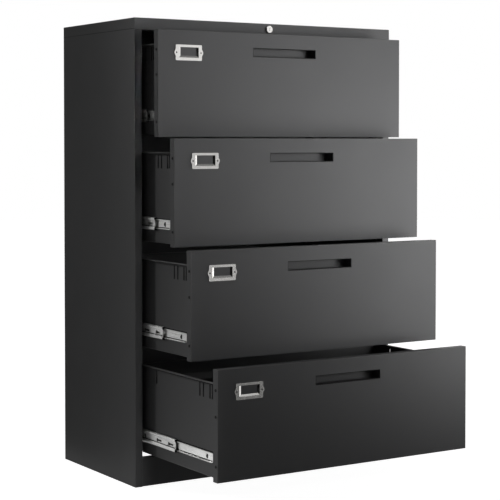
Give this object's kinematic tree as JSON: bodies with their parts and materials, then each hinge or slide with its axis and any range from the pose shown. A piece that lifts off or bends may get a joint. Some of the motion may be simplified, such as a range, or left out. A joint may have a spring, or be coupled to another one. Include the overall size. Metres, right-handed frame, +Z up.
{
  "type": "lateral file cabinet",
  "caption": "Black steel lateral file cabinet with drawers on ball slides, recessed finger pulls, card frames and a lock in its top skirt.",
  "frame": {"origin": "on the floor under the middle of the carcass", "axes": "+X to the right seen from the front, +Y to the back, +Z up"},
  "size_m": [0.9, 0.8672, 1.33],
  "materials": {
    "black_paint": "black powder coat, satin",
    "zinc_slide": "bright zinc plate",
    "cage_steel": "black phosphated steel",
    "bright_nickel": "bright nickel plate"
  },
  "bodies": {
    "cabinet": {"side_panel_left": "black_paint", "side_panel_right": "black_paint", "back_panel": "black_paint", "top_panel": "black_paint", "kick_plate": "black_paint", "slide_uprights": "black_paint", "slide_outer_left": "zinc_slide", "slide_outer_right": "zinc_slide", "lock_housing": "bright_nickel"},
    "lock": {"lock_plug": "bright_nickel", "lock_cam": "zinc_slide"},
    "drawer_1": {"drawer_front_1": "black_paint", "handle_cup_1": "black_paint", "label_holder_1": "bright_nickel", "drawer_side_left_1": "black_paint", "drawer_side_right_1": "black_paint", "drawer_back_1": "black_paint", "drawer_bottom_1": "black_paint", "hanging_rails_1": "black_paint", "slide_inner_1": "zinc_slide"},
    "middle_1": {"slide_middle_1": "zinc_slide"},
    "outer_cage_1": {"ball_cage_outer_1": "cage_steel"},
    "inner_cage_1": {"ball_cage_inner_1": "cage_steel"},
    "drawer_2": {"drawer_front_2": "black_paint", "handle_cup_2": "black_paint", "label_holder_2": "bright_nickel", "drawer_side_left_2": "black_paint", "drawer_side_right_2": "black_paint", "drawer_back_2": "black_paint", "drawer_bottom_2": "black_paint", "hanging_rails_2": "black_paint", "slide_inner_2": "zinc_slide"},
    "middle_2": {"slide_middle_2": "zinc_slide"},
    "outer_cage_2": {"ball_cage_outer_2": "cage_steel"},
    "inner_cage_2": {"ball_cage_inner_2": "cage_steel"},
    "drawer_3": {"drawer_front_3": "black_paint", "handle_cup_3": "black_paint", "label_holder_3": "bright_nickel", "drawer_side_left_3": "black_paint", "drawer_side_right_3": "black_paint", "drawer_back_3": "black_paint", "drawer_bottom_3": "black_paint", "hanging_rails_3": "black_paint", "slide_inner_3": "zinc_slide"},
    "middle_3": {"slide_middle_3": "zinc_slide"},
    "outer_cage_3": {"ball_cage_outer_3": "cage_steel"},
    "inner_cage_3": {"ball_cage_inner_3": "cage_steel"},
    "drawer_4": {"drawer_front_4": "black_paint", "handle_cup_4": "black_paint", "label_holder_4": "bright_nickel", "drawer_side_left_4": "black_paint", "drawer_side_right_4": "black_paint", "drawer_back_4": "black_paint", "drawer_bottom_4": "black_paint", "hanging_rails_4": "black_paint", "slide_inner_4": "zinc_slide"},
    "middle_4": {"slide_middle_4": "zinc_slide"},
    "outer_cage_4": {"ball_cage_outer_4": "cage_steel"},
    "inner_cage_4": {"ball_cage_inner_4": "cage_steel"}
  },
  "joints": [
    {"name": "lock_turn", "type": "hinge", "parent": "cabinet", "child": "lock", "pos_m": [0, -0.23, 1.313], "axis": [0, 1, 0], "range_deg": [0, 90]},
    {"name": "drawer_1_slide", "type": "slide", "parent": "cabinet", "child": "drawer_1", "axis": [0, -1, 0], "range_m": [-0.087, 0.317]},
    {"name": "middle_1_slide", "type": "slide", "parent": "cabinet", "child": "middle_1", "axis": [0, -1, 0], "range_m": [-0.0435, 0.1585]},
    {"name": "outer_cage_1_slide", "type": "slide", "parent": "cabinet", "child": "outer_cage_1", "axis": [0, -1, 0], "range_m": [-0.02175, 0.07925]},
    {"name": "inner_cage_1_slide", "type": "slide", "parent": "cabinet", "child": "inner_cage_1", "axis": [0, -1, 0], "range_m": [-0.06525, 0.23775]},
    {"name": "drawer_2_slide", "type": "slide", "parent": "cabinet", "child": "drawer_2", "axis": [0, -1, 0], "range_m": [-0.177, 0.227]},
    {"name": "middle_2_slide", "type": "slide", "parent": "cabinet", "child": "middle_2", "axis": [0, -1, 0], "range_m": [-0.0885, 0.1135]},
    {"name": "outer_cage_2_slide", "type": "slide", "parent": "cabinet", "child": "outer_cage_2", "axis": [0, -1, 0], "range_m": [-0.04425, 0.05675]},
    {"name": "inner_cage_2_slide", "type": "slide", "parent": "cabinet", "child": "inner_cage_2", "axis": [0, -1, 0], "range_m": [-0.13275, 0.17025]},
    {"name": "drawer_3_slide", "type": "slide", "parent": "cabinet", "child": "drawer_3", "axis": [0, -1, 0], "range_m": [-0.267, 0.137]},
    {"name": "middle_3_slide", "type": "slide", "parent": "cabinet", "child": "middle_3", "axis": [0, -1, 0], "range_m": [-0.1335, 0.0685]},
    {"name": "outer_cage_3_slide", "type": "slide", "parent": "cabinet", "child": "outer_cage_3", "axis": [0, -1, 0], "range_m": [-0.06675, 0.03425]},
    {"name": "inner_cage_3_slide", "type": "slide", "parent": "cabinet", "child": "inner_cage_3", "axis": [0, -1, 0], "range_m": [-0.20025, 0.10275]},
    {"name": "drawer_4_slide", "type": "slide", "parent": "cabinet", "child": "drawer_4", "axis": [0, -1, 0], "range_m": [-0.404, 0]},
    {"name": "middle_4_slide", "type": "slide", "parent": "cabinet", "child": "middle_4", "axis": [0, -1, 0], "range_m": [-0.202, 0]},
    {"name": "outer_cage_4_slide", "type": "slide", "parent": "cabinet", "child": "outer_cage_4", "axis": [0, -1, 0], "range_m": [-0.101, 0]},
    {"name": "inner_cage_4_slide", "type": "slide", "parent": "cabinet", "child": "inner_cage_4", "axis": [0, -1, 0], "range_m": [-0.303, 0]}
  ],
  "couplings": [
    {"joint": "middle_1_slide", "follows": "drawer_1_slide", "ratio": 0.5},
    {"joint": "outer_cage_1_slide", "follows": "drawer_1_slide", "ratio": 0.25},
    {"joint": "inner_cage_1_slide", "follows": "drawer_1_slide", "ratio": 0.75},
    {"joint": "middle_2_slide", "follows": "drawer_2_slide", "ratio": 0.5},
    {"joint": "outer_cage_2_slide", "follows": "drawer_2_slide", "ratio": 0.25},
    {"joint": "inner_cage_2_slide", "follows": "drawer_2_slide", "ratio": 0.75},
    {"joint": "middle_3_slide", "follows": "drawer_3_slide", "ratio": 0.5},
    {"joint": "outer_cage_3_slide", "follows": "drawer_3_slide", "ratio": 0.25},
    {"joint": "inner_cage_3_slide", "follows": "drawer_3_slide", "ratio": 0.75},
    {"joint": "middle_4_slide", "follows": "drawer_4_slide", "ratio": 0.5},
    {"joint": "outer_cage_4_slide", "follows": "drawer_4_slide", "ratio": 0.25},
    {"joint": "inner_cage_4_slide", "follows": "drawer_4_slide", "ratio": 0.75}
  ]
}
